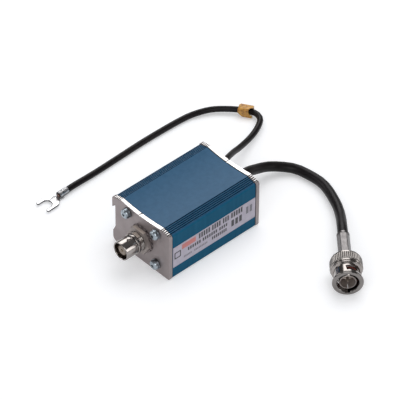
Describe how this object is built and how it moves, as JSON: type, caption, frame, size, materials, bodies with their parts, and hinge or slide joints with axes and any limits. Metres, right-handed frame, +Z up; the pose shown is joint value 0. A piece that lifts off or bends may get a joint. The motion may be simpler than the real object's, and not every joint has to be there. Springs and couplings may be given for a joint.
{
  "type": "coax lightning arrestor",
  "caption": "In-line surge protector in a grooved blue housing, with a bayonet jack, a coax lead to a bayonet plug and an earth wire with a fork lug.",
  "frame": {"origin": "middle of the housing's underside, midway between the outer faces of the end plates", "axes": "+Z up, -Y the way the jack points, -X the side with the rail notch"},
  "size_m": [0.1465, 0.1223, 0.0278],
  "materials": {
    "blue_anodised": "anodised blue, satin",
    "bare_aluminium": "brushed, cut edges bright",
    "nickel_plate": "bright nickel plate",
    "zinc_plate": "bluish zinc plate",
    "gold_plate": "thin gold plate",
    "tinned_copper": "bright tin plate",
    "copper": "bare stranded copper",
    "cream_insulation": "cream, waxy",
    "black_jacket": "black flexible plastic, slight sheen",
    "black_rubber": "black, matt",
    "red_gasket": "red, matt",
    "board_green": "green solder resist",
    "ceramic_white": "white glazed ceramic",
    "resistor_tan": "tan lacquer",
    "moulded_black": "black moulded plastic",
    "amber_marker": "amber, satin",
    "label_silver": null
  },
  "bodies": {
    "housing_and_leads": {"housing_extrusion": "blue_anodised", "front_plate": "bare_aluminium", "rear_plate": "bare_aluminium", "front_screw_1": "zinc_plate", "front_lock_washer_1": "zinc_plate", "rear_screw_1": "zinc_plate", "front_screw_2": "zinc_plate", "front_lock_washer_2": "zinc_plate", "rear_screw_2": "zinc_plate", "front_screw_3": "zinc_plate", "front_lock_washer_3": "zinc_plate", "rear_screw_3": "zinc_plate", "front_screw_4": "zinc_plate", "front_lock_washer_4": "zinc_plate", "rear_screw_4": "zinc_plate", "side_label": "label_silver", "jack_shell": "nickel_plate", "jack_insulator": "cream_insulation", "jack_contact": "gold_plate", "jack_nut": "nickel_plate", "jack_tooth_washer": "zinc_plate", "circuit_board": "board_green", "gas_tube_ceramic": "ceramic_white", "gas_tube_electrode_1": "tinned_copper", "gas_tube_electrode_2": "tinned_copper", "series_resistor": "resistor_tan", "suppressor_diode": "moulded_black", "coax_core": "cream_insulation", "coax_braid_tail": "copper", "earth_core": "copper", "coax_grommet": "black_rubber", "earth_grommet": "black_rubber", "coax_cable": "black_jacket", "earth_wire": "black_jacket", "crimp_ferrule": "nickel_plate", "plug_body": "nickel_plate", "plug_pin": "gold_plate", "plug_insulator": "cream_insulation", "plug_gasket": "red_gasket", "plug_spring_washer": "nickel_plate", "plug_collar": "nickel_plate", "fork_lug": "tinned_copper", "lug_strands": "copper", "cable_marker": "amber_marker"},
    "washer": {"thrust_washer": "nickel_plate"},
    "nut": {"coupling_nut": "nickel_plate"}
  },
  "joints": [
    {"name": "coupling_slide", "type": "slide", "parent": "housing_and_leads", "child": "washer", "axis": [0.7604, -0.6494, 0], "range_m": [0, 0.0006], "stiffness_N_per_m": 4000},
    {"name": "coupling_turn", "type": "hinge", "parent": "washer", "child": "nut", "pos_m": [0.0814, 0.0248, 0.0077], "axis": [0.7604, -0.6494, 0], "continuous": true}
  ]
}
